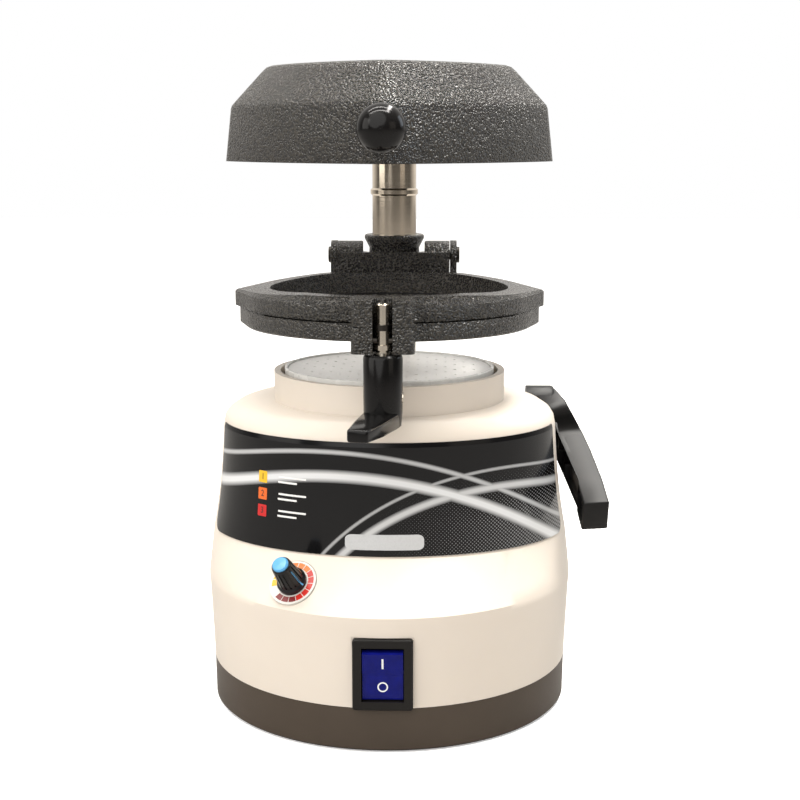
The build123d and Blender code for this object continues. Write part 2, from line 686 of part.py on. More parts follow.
def ball_knob():
    rows = [(0, -76.4), (4.6, -76.4), (5.2, -77.4), (7.6, -79.2), (9.6, -83.0), (10.0, -86.2), (9.4, -89.6),
            (7.4, -92.8), (4.2, -94.9), (0, -95.6)]
    pts = [(r, -y) for r, y in rows]
    spin = Spline(*pts[1:])
    face = make_face(Plane.XY * (Curve() + [spin, Line(pts[-1], pts[0]), Line(pts[0], pts[1])]))
    ball = revolve(face, Axis.Y, 360)
    return Pos(0, 0, 261.2) * mirror(ball, Plane.XZ) - cyl_y(3.0, -86.0, -70.0, 0, 261.2)


def knob_stud():
    return cyl_y(3.0, -86.0, -66.0, 0, 261.2)


def stud_nut():
    nut = Pos(0, -66.0, 261.2) * Rot(-90, 0, 0) * extrude(RegularPolygon(5.4, 6), 2.4)
    return nut - cyl_y(3.0, -70, -60, 0, 261.2)


# ---------------------------------------------------------------- side lever
ARM = [(74.0, 37.0, 127.0), (78.6, 30.0, 123.2), (82.0, 20.0, 118.0), (87.4, 0.0, 108.0),
       (91.0, -20.0, 99.0), (92.6, -36.0, 92.8)]


def arm_loft(shrink, depth):
    rows = []
    for i, (x, y, z) in enumerate(ARM):
        if i == 0:
            d = Vector(*ARM[1]) - Vector(*ARM[0])
        elif i == len(ARM) - 1:
            d = Vector(*ARM[-1]) - Vector(*ARM[-2])
        else:
            d = Vector(*ARM[i + 1]) - Vector(*ARM[i - 1])
        d = d.normalized()
        across = Vector(0, 0, 1).cross(d).normalized()
        plane = Plane(origin=(x + depth, y, z), x_dir=across, z_dir=d)
        rows.append(plane * RectangleRounded(11.8 - shrink, 12.6 - shrink, max(0.5, 2.2 - shrink / 2)))
    return loft(rows, ruled=False)


def side_lever():
    hub = cyl_x(10.0, 65.3, 79.2, LEVER_Y, LEVER_Z)
    hub = fillet(hub.edges().filter_by(GeomType.CIRCLE).sort_by(Axis.X)[-1], 2.0)
    arm = arm_loft(0, 0)
    lever = hub + arm
    lever = lever - cyl_x(SHAFT_R, 60, 76.0, LEVER_Y, LEVER_Z)
    return lever - cyl_x(4.4, 77.6, 90, LEVER_Y, LEVER_Z) - cyl_x(2.0, 70, 90, LEVER_Y, LEVER_Z)


def lever_shaft():
    return cyl_x(SHAFT_R, -16.0, 76.0, LEVER_Y, LEVER_Z) - cyl_x(2.0, 68.0, 77, LEVER_Y, LEVER_Z)


def lever_screw():
    screw = cyl_x(4.3, 77.6, 79.0, LEVER_Y, LEVER_Z) + cyl_x(2.0, 68.4, 77.6, LEVER_Y, LEVER_Z)
    return screw - block(78.3, 80, LEVER_Y - 3, LEVER_Y + 3, LEVER_Z - 0.5, LEVER_Z + 0.5)


def valve_flap():
    """Flap that shuts the seat when the lever is up."""
    flap = block(-12.0, 12.0, LEVER_Y - 19.4, LEVER_Y + 3.0, LEVER_Z + 1.2, LEVER_Z + 2.6)
    flap = flap + cyl_x(4.8, -9.0, 9.0, LEVER_Y, LEVER_Z)
    flap = flap - cyl_x(SHAFT_R, -20, 20, LEVER_Y, LEVER_Z)
    return Pos(0, LEVER_Y, LEVER_Z) * Rot(80, 0, 0) * Pos(0, -LEVER_Y, -LEVER_Z) * flap


def lever_bush():
    return cyl_x(7.0, 54.0, 64.8, LEVER_Y, LEVER_Z) - cyl_x(SHAFT_R + RUN, 40, 80, LEVER_Y, LEVER_Z)


# ---------------------------------------------------------------- write every node
MAKERS = {
    "base_tray": base_tray, "rubber_pad": rubber_pad, "base_screws": base_screws, "shell": shell,
    "label_band": label_band, "platform": platform, "platform_ring": platform_ring,
    "vacuum_chamber": vacuum_chamber, "chamber_screws": chamber_screws,
    "valve_housing": valve_housing, "valve_gasket": valve_gasket, "fan_housing": fan_housing,
    "fan_impeller": fan_impeller, "fan_motor": fan_motor, "motor_ring": motor_ring,
    "control_board": control_board, "transformer": transformer,
    "potentiometer": potentiometer, "dial_plate": dial_plate, "switch_housing": switch_housing,
    "power_inlet": power_inlet, "post": post, "post_bushes": post_bushes, "post_bolt": post_bolt,
    "post_ring": post_ring, "lever_bush": lever_bush,
    "frame_lower": frame_lower, "frame_seal": frame_seal, "hinge_pins": hinge_pins, "clamp_rod": clamp_rod,
    "rod_pin": rod_pin, "rod_nut": rod_nut,
    "frame_upper": frame_upper,
    "clamp_lever": clamp_lever, "clamp_button": clamp_button,
    "heater_cover": heater_cover, "post_upper": post_upper, "post_spigot": post_spigot,
    "reflector": reflector_pan, "heating_element": heating_element, "insulators": insulators,
    "terminal_block": terminal_block, "cover_screws": cover_screws, "ball_knob": ball_knob,
    "knob_stud": knob_stud, "stud_nut": stud_nut,
    "side_lever": side_lever, "lever_shaft": lever_shaft, "lever_screw": lever_screw,
    "valve_flap": valve_flap,
    "pot_shaft": pot_shaft, "control_knob": control_knob, "knob_cap": knob_cap,
    "rocker_paddle": rocker_paddle,
}

for node, maker in MAKERS.items():
    write(node, maker())
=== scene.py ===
"""Dental vacuum former: finishes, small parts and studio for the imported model.

Metres, +Z up, operator's side towards -Y, origin on the table under the platform.
"""

import json
import math

import bmesh
import bpy
from mathutils import Matrix, Vector
from mathutils.bvhtree import BVHTree


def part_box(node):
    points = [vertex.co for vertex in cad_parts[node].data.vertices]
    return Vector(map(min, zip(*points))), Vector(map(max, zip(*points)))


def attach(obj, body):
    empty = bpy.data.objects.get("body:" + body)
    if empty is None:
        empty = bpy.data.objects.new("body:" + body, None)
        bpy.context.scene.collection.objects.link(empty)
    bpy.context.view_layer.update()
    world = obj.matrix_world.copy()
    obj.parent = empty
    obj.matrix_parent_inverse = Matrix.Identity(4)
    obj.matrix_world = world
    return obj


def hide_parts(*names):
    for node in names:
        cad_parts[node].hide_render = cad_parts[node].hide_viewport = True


bl_info = {
    "name": "Dental Vacuum Former",
    "version": (1, 0, 0),
    "blender": (4, 5, 0),
    "location": "View3D > Sidebar > Former",
    "description": "Builds the finishes, printed band and studio of a dental vacuum former",
    "category": "Add Mesh",
}

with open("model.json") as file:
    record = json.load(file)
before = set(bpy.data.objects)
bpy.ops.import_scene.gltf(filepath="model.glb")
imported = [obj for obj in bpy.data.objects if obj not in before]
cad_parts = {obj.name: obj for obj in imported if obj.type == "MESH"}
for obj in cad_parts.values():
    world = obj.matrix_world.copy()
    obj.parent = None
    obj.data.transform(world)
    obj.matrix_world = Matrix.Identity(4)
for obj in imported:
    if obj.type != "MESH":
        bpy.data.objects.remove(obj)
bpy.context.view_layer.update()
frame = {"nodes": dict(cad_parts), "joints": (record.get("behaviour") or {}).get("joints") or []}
NODES = frame["nodes"]
MM = 0.001
MERGE = 2e-6            # vertices of a CAD piece closer than this are one
LATHE_PITCH = 0.00035   # between two turning marks on the steel
# two wide arcs and two thin ones: centre x, centre z, radius, half width, brightness
BAND_ARCS = ((-0.020, -0.035, 0.150, 0.0016, 0.85), (-0.024, -0.033, 0.1585, 0.0007, 0.55),
             (0.050, 0.010, 0.0985, 0.0012, 0.65), (0.052, 0.012, 0.1045, 0.0005, 0.45))


# ------------------------------------------------------------------ settings
class FormerColours(bpy.types.PropertyGroup):
    """Colours of the finishes."""

    shell: bpy.props.FloatVectorProperty(
        name="Shell", description="Moulded plastic of the housing", subtype="COLOR", size=3,
        min=0.0, max=1.0, default=(0.70, 0.63, 0.55))
    tray: bpy.props.FloatVectorProperty(
        name="Base tray", description="Dark plastic of the base", subtype="COLOR", size=3,
        min=0.0, max=1.0, default=(0.066, 0.050, 0.037))
    # painted shade: the colour put in the pits of the hammered paint
    hammer_pit_shade: bpy.props.FloatVectorProperty(
        name="Hammer paint, pits", description="Dark bottom of the hammered paint", subtype="COLOR",
        size=3, min=0.0, max=1.0, default=(0.003, 0.0026, 0.0022))
    # painted highlight: the paler colour put on the ridges of the hammered paint
    hammer_ridge_highlight: bpy.props.FloatVectorProperty(
        name="Hammer paint, flakes", description="Metallic flake of the hammered paint",
        subtype="COLOR", size=3, min=0.0, max=1.0, default=(0.030, 0.026, 0.020))
    rocker: bpy.props.FloatVectorProperty(
        name="Rocker", description="Clear blue of the mains switch", subtype="COLOR", size=3,
        min=0.0, max=1.0, default=(0.005, 0.008, 0.16))
    cap: bpy.props.FloatVectorProperty(
        name="Knob cap", description="Blue cap of the dial's knob", subtype="COLOR", size=3,
        min=0.0, max=1.0, default=(0.10, 0.36, 0.66))


class FormerSizes(bpy.types.PropertyGroup):
    """Sizes of the printed and small parts."""

    ink: bpy.props.FloatProperty(
        name="Ink", description="Height of a printed mark over its surface", default=0.00006,
        min=0.00002, max=0.0005, unit="LENGTH", precision=5)
    square: bpy.props.FloatProperty(
        name="Setting square", description="Side of a coloured square on the band",
        default=0.0052, min=0.002, max=0.012, unit="LENGTH")
    grain: bpy.props.FloatProperty(
        name="Hammer grain", description="Width of one dimple of the hammered paint",
        default=0.0010, min=0.0004, max=0.006, unit="LENGTH")


def colours():
    return bpy.context.scene.former_colours


def sizes():
    return bpy.context.scene.former_sizes


# ------------------------------------------------------------------ node tools
class Finish:
    """A material with its nodes laid out from left to right."""

    def __init__(self, name):
        self.material = bpy.data.materials.new(name)
        self.material.use_nodes = True
        self.tree = self.material.node_tree
        self.shader = self.tree.nodes["Principled BSDF"]
        self.place = self.add("ShaderNodeTexCoord").outputs["Object"]

    def add(self, kind, **values):
        node = self.tree.nodes.new(kind)
        for key, value in values.items():
            if hasattr(node, key):
                setattr(node, key, value)
            else:
                node.inputs[key.replace("_", " ")].default_value = value
        return node

    def link(self, a, b):
        self.tree.links.new(a, b)

    def set(self, **values):
        for key, value in values.items():
            socket = self.shader.inputs[key.replace("_", " ")]
            socket.default_value = (*value, 1.0) if socket.type == "RGBA" else value

    def noise(self, size, detail=2.0, rough=0.5):
        node = self.add("ShaderNodeTexNoise", Scale=1.0 / size, Detail=detail, Roughness=rough)
        self.link(self.place, node.inputs["Vector"])
        return node.outputs["Fac"]

    def ramp(self, value, stops):
        node = self.add("ShaderNodeValToRGB")
        ramp = node.color_ramp
        while len(ramp.elements) < len(stops):
            ramp.elements.new(0.5)
        for element, (at, colour) in zip(ramp.elements, stops):
            element.position = at
            element.color = (*colour, 1.0) if len(colour) == 3 else colour
        self.link(value, node.inputs["Fac"])
        return node.outputs["Color"]

    def spread(self, value, low, high, a=0.0, b=1.0):
        node = self.add("ShaderNodeMapRange")
        for socket, number in zip(("From Min", "From Max", "To Min", "To Max"), (a, b, low, high)):
            node.inputs[socket].default_value = number
        self.link(value, node.inputs["Value"])
        return node.outputs["Result"]

    def math(self, operation, a, b=None):
        node = self.add("ShaderNodeMath", operation=operation)
        for socket, value in zip(node.inputs, (a, b)):
            if value is None:
                continue
            if isinstance(value, (int, float)):
                socket.default_value = value
            else:
                self.link(value, socket)
        return node.outputs[0]

    def bump(self, height, strength, distance):
        node = self.add("ShaderNodeBump", Strength=strength, Distance=distance)
        self.link(height, node.inputs["Height"])
        self.link(node.outputs["Normal"], self.shader.inputs["Normal"])


def hammer_paint():
    """Dark hammered enamel: wet dimples with painted shade in their pits and a painted highlight on their
    ridges.
    """
    f = Finish("hammered_enamel")
    grain = sizes().grain
    wander = f.add("ShaderNodeTexNoise", Scale=1.0 / (grain * 1.8), Detail=1.0)
    f.link(f.place, wander.inputs["Vector"])
    shift = f.add("ShaderNodeVectorMath", operation="SCALE")
    f.link(wander.outputs["Color"], shift.inputs[0])
    shift.inputs["Scale"].default_value = grain * 1.1
    moved = f.add("ShaderNodeVectorMath", operation="ADD")
    f.link(f.place, moved.inputs[0])
    f.link(shift.outputs[0], moved.inputs[1])
    cells = f.add("ShaderNodeTexVoronoi", feature="SMOOTH_F1", Scale=1.0 / grain, Smoothness=0.5)
    f.link(moved.outputs[0], cells.inputs["Vector"])
    ridge = f.spread(cells.outputs["Distance"], 0.0, 1.0, 0.15, 0.75)
    worn = f.noise(grain * 0.7, 2.0, 0.6)
    height = f.math("ADD", ridge, f.math("MULTIPLY", worn, 0.45))
    # the bump's height sets the colour: painted shade in the pits, painted highlight on the ridges, broken
    # by a random mottle
    dark, light = tuple(colours().hammer_pit_shade), tuple(colours().hammer_ridge_highlight)
    tone = f.ramp(f.spread(height, 0.0, 1.0, 0.15, 1.25), [
        (0.42, dark), (0.60, tuple(0.5 * (a + b) for a, b in zip(dark, light))), (0.74, light)])
    f.link(tone, f.shader.inputs["Base Color"])
    f.link(f.spread(worn, 0.07, 0.20), f.shader.inputs["Roughness"])
    f.set(Specular_IOR_Level=0.50)
    f.bump(height, 1.0, grain * 0.62)
    return f.material


def plastic(name, colour, rough, grain, strength, gloss=0.5, tint=0.05):
    """Moulded plastic with a fine spark-eroded grain and a faint unevenness of tone."""
    f = Finish(name)
    broad = f.noise(0.03, 3.0)
    dark = tuple(c * (1.0 - tint) for c in colour)
    f.link(f.ramp(broad, [(0.3, dark), (0.7, colour)]), f.shader.inputs["Base Color"])
    fine = f.noise(grain, 2.0, 0.6)
    f.link(f.spread(fine, rough - 0.06, rough + 0.06), f.shader.inputs["Roughness"])
    f.set(Specular_IOR_Level=gloss)
    f.bump(fine, strength, grain * 0.3)
    return f


def shell_plastic():
    """Off-white satin moulding that lets a little light in."""
    f = plastic("shell_plastic", tuple(colours().shell), 0.42, 0.0005, 0.10, 0.45, 0.025)
    f.set(Subsurface_Weight=0.08, Subsurface_Radius=(0.004, 0.003, 0.002))
    f.shader.inputs["Subsurface Scale"].default_value = 0.6
    return f.material


def gloss_black(name="gloss_black", rough=0.10):
    """Black moulding with a smeared gloss."""
    f = Finish(name)
    smear = f.noise(0.012, 4.0, 0.6)
    f.link(f.ramp(smear, [(0.3, (0.004, 0.004, 0.004)), (0.8, (0.009, 0.008, 0.008))]),
           f.shader.inputs["Base Color"])
    f.link(f.spread(smear, rough, rough + 0.10), f.shader.inputs["Roughness"])
    f.set(Specular_IOR_Level=0.22)
    f.bump(f.noise(0.004, 2.0), 0.04, 0.0002)
    return f.material


def turned_steel(name, colour, rough):
    """Steel with fine rings from the lathe across Z."""
    f = Finish(name)
    stretch = f.add("ShaderNodeMapping")
    f.link(f.place, stretch.inputs["Vector"])
    stretch.inputs["Scale"].default_value = (20.0, 20.0, 1.0 / LATHE_PITCH)
    rings = f.add("ShaderNodeTexNoise", Scale=1.0, Detail=3.0)
    f.link(stretch.outputs["Vector"], rings.inputs["Vector"])
    smudge = f.noise(0.010, 4.0, 0.6)
    f.link(f.ramp(smudge, [(0.35, tuple(c * 0.86 for c in colour)), (0.75, colour)]),
           f.shader.inputs["Base Color"])
    f.link(f.spread(rings.outputs["Fac"], rough - 0.05, rough + 0.09), f.shader.inputs["Roughness"])
    f.set(Metallic=1.0)
    f.bump(rings.outputs["Fac"], 0.05, 0.00005)
    return f.material


def cast_metal(name, colour, rough=0.45, grain=0.0008, strength=0.2):
    """Cast or pressed metal with a fine grain and a clouded tone."""
    f = Finish(name)
    cloud = f.noise(0.01, 4.0)
    f.link(f.ramp(cloud, [(0.3, tuple(c * 0.8 for c in colour)), (0.7, colour)]),
           f.shader.inputs["Base Color"])
    fine = f.noise(grain, 3.0, 0.6)
    f.link(f.spread(fine, rough - 0.1, rough + 0.1), f.shader.inputs["Roughness"])
    f.set(Metallic=1.0)
    f.bump(fine, strength, grain * 0.3)
    return f.material


def platform_sheet():
    """Pale anodised sheet with a faint brushed grain and a dulled print of use."""
    f = Finish("platform_sheet")
    grain = f.noise(0.0006, 3.0, 0.6)
    cloud = f.noise(0.02, 4.0, 0.6)
    f.link(f.ramp(cloud, [(0.25, (0.80, 0.785, 0.76)), (0.75, (0.88, 0.865, 0.84))]),
           f.shader.inputs["Base Color"])
    f.link(f.spread(grain, 0.22, 0.40), f.shader.inputs["Roughness"])
    f.bump(grain, 0.08, 0.0001)
    return f.material


def clear_ring():
    """Pale hazy plastic."""
    f = Finish("clear_ring")
    haze = f.noise(0.006, 3.0)
    f.link(f.ramp(haze, [(0.3, (0.74, 0.73, 0.70)), (0.7, (0.84, 0.83, 0.80))]),
           f.shader.inputs["Base Color"])
    f.link(f.spread(haze, 0.18, 0.35), f.shader.inputs["Roughness"])
    f.set(Subsurface_Weight=0.2, Subsurface_Radius=(0.003, 0.003, 0.003))
    return f.material


def clear_blue():
    """Deep blue plastic with a faint swirl."""
    f = Finish("rocker_blue")
    swirl = f.noise(0.004, 3.0)
    blue = tuple(colours().rocker)
    f.link(f.ramp(swirl, [(0.3, tuple(c * 0.75 for c in blue)), (0.7, blue)]),
           f.shader.inputs["Base Color"])
    f.link(f.spread(swirl, 0.10, 0.2), f.shader.inputs["Roughness"])
    f.set(Specular_IOR_Level=0.15)
    return f.material


def print_ink(name, colour, rough=0.3):
    """Printing ink, a little worn."""
    f = Finish(name)
    wear = f.noise(0.0008, 2.0)
    f.link(f.ramp(wear, [(0.2, tuple(c * 0.92 for c in colour)), (0.6, colour)]),
           f.shader.inputs["Base Color"])
    f.link(f.spread(wear, rough - 0.05, rough + 0.05), f.shader.inputs["Roughness"])
    return f.material


def band_gloss():
    """Black gloss film printed with pale sweeping arcs and a field of fine dots."""
    f = Finish("band_gloss")
    split = f.add("ShaderNodeSeparateXYZ")
    f.link(f.place, split.inputs[0])
    x, z = split.outputs["X"], split.outputs["Z"]
    total = None
    for cx, cz, radius, width, level in BAND_ARCS:
        dx = f.math("SUBTRACT", x, cx)
        dz = f.math("SUBTRACT", z, cz)
        far = f.math("SQRT", f.math("ADD", f.math("MULTIPLY", dx, dx), f.math("MULTIPLY", dz, dz)))
        off = f.math("ABSOLUTE", f.math("SUBTRACT", far, radius))
        line = f.spread(off, level, 0.0, width * 0.5, width * 1.9)
        total = line if total is None else f.math("MAXIMUM", total, line)
    # dots that fade towards the left
    cells = f.add("ShaderNodeTexVoronoi", feature="F1", Scale=620.0, Randomness=0.0)
    flat = f.add("ShaderNodeCombineXYZ")
    f.link(f.math("ADD", x, z), flat.inputs["X"])
    f.link(f.math("SUBTRACT", x, z), flat.inputs["Y"])
    f.link(flat.outputs[0], cells.inputs["Vector"])
    reach = f.spread(x, 0.0, 0.42, -0.005, 0.070)
    low = f.spread(z, 1.0, 0.0, 0.094, 0.118)
    size = f.math("MULTIPLY", reach, low)
    dots = f.math("LESS_THAN", cells.outputs["Distance"], size)
    pattern = f.math("MAXIMUM", total, f.math("MULTIPLY", dots, 0.22))
    f.link(f.ramp(pattern, [(0.0, (0.0045, 0.0045, 0.005)), (1.0, (0.78, 0.79, 0.80))]),
           f.shader.inputs["Base Color"])
    f.link(f.spread(f.noise(0.008, 3.0), 0.10, 0.2), f.shader.inputs["Roughness"])
    f.set(Specular_IOR_Level=0.28)
    return f.material


# ------------------------------------------------------------------ mesh tools
def give(node, material):
    """Finish of a piece that keeps its own solid."""
    mesh = NODES[node].data
    mesh.materials.clear()
    mesh.materials.append(material)


def eased(piece, width):
    """Rounds the hard edges of a piece a little, as its casting or moulding has them."""
    piece.modifiers.new("weld", "WELD").merge_threshold = MERGE
    edge = piece.modifiers.new("edges", "BEVEL")
    edge.width = width
    edge.segments = 2
    edge.limit_method = "ANGLE"
    edge.angle_limit = math.radians(40.0)
    edge.harden_normals = True


def finished(bm, name, body, materials, smooth=True):
    """Turns a bmesh into a piece that rides on a body."""
    mesh = bpy.data.meshes.new(name)
    bm.to_mesh(mesh)
    bm.free()
    for material in materials:
        mesh.materials.append(material)
    for polygon in mesh.polygons:
        polygon.use_smooth = smooth
    piece = bpy.data.objects.new(name, mesh)
    bpy.context.scene.collection.objects.link(piece)
    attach(piece, body)
    return piece


def copy_of(node):
    """Merged copy of a CAD piece, as a bmesh."""
    bm = bmesh.new()
    bm.from_mesh(NODES[node].data)
    bmesh.ops.remove_doubles(bm, verts=bm.verts, dist=MERGE)
    return bm


def crisp(bm, degrees=32.0):
    """Keeps the edges sharp where the surface turns by more than an angle."""
    for edge in bm.edges:
        if len(edge.link_faces) == 2:
            edge.smooth = edge.calc_face_angle(0.0) < math.radians(degrees)


def spun(bm, rows, place, steps=56):
    """Solid of revolution about Z from (radius, height) rows in mm, then put in its place."""
    verts = [bm.verts.new((r * MM, 0.0, z * MM)) for r, z in rows]
    edges = [bm.edges.new(pair) for pair in zip(verts, verts[1:])]
    made = bmesh.ops.spin(bm, geom=verts + edges, cent=(0, 0, 0), axis=(0, 0, 1), dvec=(0, 0, 0),
                          angle=math.tau, steps=steps, use_merge=True, use_duplicate=False)
    found = {v for item in made["geom_last"]
             for v in (item.verts if hasattr(item, "verts") else [item])}
    whole = flood(found | set(verts))
    bmesh.ops.remove_doubles(bm, verts=whole, dist=1e-7)
    whole = flood({v for v in verts if v.is_valid})
    bmesh.ops.recalc_face_normals(bm, faces=list({f for v in whole for f in v.link_faces}))
    bmesh.ops.transform(bm, matrix=place, verts=whole)
    return whole


def flood(start):
    """All vertices joined by edges to the first ones."""
    seen, todo = set(start), list(start)
    while todo:
        for edge in todo.pop().link_edges:
            for v in edge.verts:
                if v not in seen:
                    seen.add(v)
                    todo.append(v)
    return list(seen)


def bar(bm, sections):
    """Bar through rectangular sections, each a matrix that places a unit square.

    Returns its vertices and, for each stretch, its side faces.
    """
    made = bmesh.ops.create_grid(bm, x_segments=1, y_segments=1, size=0.5, matrix=sections[0])
    first = made["verts"]
    end = next(iter({f for v in first for f in v.link_faces}))
    sides, last = [], sections[0]
    for section in sections[1:]:
        grown = bmesh.ops.extrude_face_region(bm, geom=[end], use_keep_orig=last is sections[0])["geom"]
        new = [v for v in grown if isinstance(v, bmesh.types.BMVert)]
        bmesh.ops.transform(bm, matrix=section @ last.inverted(), verts=new)
        end = next(f for f in grown if isinstance(f, bmesh.types.BMFace))
        sides.append({f for v in new for f in v.link_faces} - {end})
        last = section
    whole = flood(set(first))
    bmesh.ops.recalc_face_normals(bm, faces=list({f for v in whole for f in v.link_faces}))
    return whole, sides


def section(centre, outwards, along, wide, high):
    """Matrix of a section in mm that faces along a direction."""
    along = along.normalized()
    outwards = (outwards - along * outwards.dot(along)).normalized()
    up = along.cross(outwards)
    place = Matrix((outwards, up, along)).transposed().to_4x4()
    place.translation = Vector(centre) * MM
    return place @ Matrix.Diagonal((wide * MM, high * MM, 1.0, 1.0))


def joint_named(name):
    return next(joint for joint in frame["joints"] if joint["name"] == name)


def surface_of(node):
    """Tree of a CAD piece's surface, for laying prints on it."""
    bm = bmesh.new()
    bm.from_mesh(NODES[node].data)
    tree = BVHTree.FromBMesh(bm)
    bm.free()
    return tree


def text_mesh(words, height):
    """Plain sans characters as a flat mesh in XY, centred."""
    curve = bpy.data.curves.new("mark", "FONT")
    curve.body = words
    curve.size = height
    curve.align_x = "CENTER"
    curve.align_y = "CENTER"
    holder = bpy.data.objects.new("mark", curve)
    bpy.context.scene.collection.objects.link(holder)
    mesh = bpy.data.meshes.new_from_object(holder)
    bpy.data.objects.remove(holder)
    bpy.data.curves.remove(curve)
    bm = bmesh.new()
    bm.from_mesh(mesh)
    bpy.data.meshes.remove(mesh)
    bmesh.ops.remove_doubles(bm, verts=bm.verts, dist=1e-6)
    return bm


# ------------------------------------------------------------------ operators
class FORMER_OT_housing(bpy.types.Operator):
    """Finishes the housing, its tray and what is inside it"""

    bl_idname = "former.housing"
    bl_label = "Housing finishes"

    def execute(self, context):
        give("shell", shell_plastic())
        tray = plastic("tray_plastic", tuple(colours().tray), 0.40, 0.0006, 0.15, 0.25, 0.12).material
        black = plastic("black_plastic", (0.008, 0.007, 0.006), 0.30, 0.0005, 0.12, 0.22, 0.15).material
        rubber = plastic("rubber", (0.018, 0.017, 0.017), 0.75, 0.0007, 0.3, 0.3, 0.2).material
        give("base_tray", tray)
        for node in ("rubber_pad", "valve_gasket", "motor_ring", "frame_seal"):
            give(node, rubber)
        for node in ("valve_housing", "fan_housing", "power_inlet", "switch_housing"):
            give(node, black)
        give("platform", platform_sheet())
        give("platform_ring", clear_ring())
        alloy = cast_metal("cast_alloy", (0.52, 0.52, 0.51))
        for node in ("vacuum_chamber", "fan_impeller", "post_bushes", "valve_flap"):
            give(node, alloy)
        bright = turned_steel("small_steel", (0.62, 0.61, 0.60), 0.25)
        for node in ("base_screws", "chamber_screws", "potentiometer", "pot_shaft", "post_bolt",
                     "lever_shaft", "lever_screw", "cover_screws", "knob_stud", "stud_nut",
                     "post_spigot"):
            give(node, bright)
        give("fan_motor", cast_metal("motor_can", (0.20, 0.20, 0.20), 0.4))
        give("transformer", cast_metal("transformer_core", (0.16, 0.15, 0.15), 0.5))
        give("control_board", plastic("board", (0.01, 0.09, 0.04), 0.3, 0.0004, 0.05).material)
        give("lever_bush", cast_metal("turned_brass", (0.60, 0.44, 0.17), 0.3, 0.0004, 0.05))
        return {"FINISHED"}


class FORMER_OT_metalwork(bpy.types.Operator):
    """Finishes the post, the sheet frames and the heater cover"""

    bl_idname = "former.metalwork"
    bl_label = "Metalwork finishes"

    def execute(self, context):
        paint = hammer_paint()
        for node in ("frame_lower", "frame_upper", "heater_cover"):
            give(node, paint)
        for node, width in (("frame_lower", 0.0009), ("frame_upper", 0.0009), ("heater_cover", 0.0016)):
            eased(NODES[node], width)
        post = turned_steel("post_steel", (0.80, 0.70, 0.57), 0.10)
        for node in ("post", "post_upper", "post_ring"):
            give(node, post)
        rod = turned_steel("rod_steel", (0.66, 0.60, 0.51), 0.14)
        blackened = cast_metal("black_steel", (0.05, 0.045, 0.04), 0.3, 0.0006, 0.1)
        for node in ("rod_pin", "rod_nut", "hinge_pins"):
            give(node, blackened)
        give("clamp_rod", rod)
        give("clamp_button", rod)
        give("reflector", cast_metal("reflector_sheet", (0.80, 0.79, 0.77), 0.25, 0.002, 0.1))
        give("heating_element", cast_metal("oxidised_sheath", (0.10, 0.085, 0.075), 0.6))
        for node in ("insulators", "terminal_block"):
            give(node, plastic(node + "_ceramic", (0.74, 0.71, 0.64), 0.35, 0.0008, 0.1).material)
        return {"FINISHED"}


class FORMER_OT_handles(bpy.types.Operator):
    """Finishes the levers, the ball knob and the controls"""

    bl_idname = "former.handles"
    bl_label = "Handle finishes"

    def execute(self, context):
        black = gloss_black()
        for node in ("clamp_lever", "ball_knob", "side_lever"):
            give(node, black)
        knob = plastic("knob_black", (0.007, 0.007, 0.008), 0.30, 0.0004, 0.08, 0.3, 0.1)
        give("control_knob", knob.material)
        give("knob_cap", plastic("cap_blue", tuple(colours().cap), 0.25, 0.0006, 0.04).material)
        give("rocker_paddle", clear_blue())
        give("dial_plate", print_ink("dial_white", (0.72, 0.70, 0.66)))
        return {"FINISHED"}


class FORMER_OT_shoulder(bpy.types.Operator):
    """Domes the shoulder of the housing down to the foot of its collar"""

    bl_idname = "former.shoulder"
    bl_label = "Domed shoulder"

    # old and new height in mm, from the band's top to the collar's foot
    heights = ((128.0, 128.0), (132.4, 132.0), (135.2, 134.5), (138.0, 137.05), (139.0, 137.8),
               (140.5, 138.45), (142.5, 139.0), (144.5, 139.35), (146.4, 139.8))
    top = 146.6             # nothing above it moves
    socket_top = 145.95     # the post's socket stands higher than this
    socket_new = 0.1434
    socket_radius = 0.0185
    collar_radius = 0.0525
    post_radius = 0.011

    def execute(self, context):
        bm = copy_of("shell")
        for z, _ in self.heights[4:-1]:
            bmesh.ops.bisect_plane(bm, geom=bm.verts[:] + bm.edges[:] + bm.faces[:],
                                   plane_co=(0, 0, z * MM), plane_no=(0, 0, 1), dist=1e-7)
        post_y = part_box("post")[1].y - self.post_radius
        first = self.heights[0][0]
        for v in bm.verts:
            z = v.co.z / MM
            if z <= first or z > self.top or math.hypot(v.co.x, v.co.y) < self.collar_radius:
                continue
            if z > self.socket_top and math.hypot(v.co.x, v.co.y - post_y) < self.socket_radius:
                v.co.z = self.socket_new
                continue
            for (a, low), (b, high) in zip(self.heights, self.heights[1:]):
                if a < z <= b:
                    v.co.z = (low + (high - low) * (z - a) / (b - a)) * MM
                    break
        crisp(bm)
        piece = finished(bm, "shell_domed", "base", [shell_plastic()])
        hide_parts("shell")
        return {"FINISHED"}


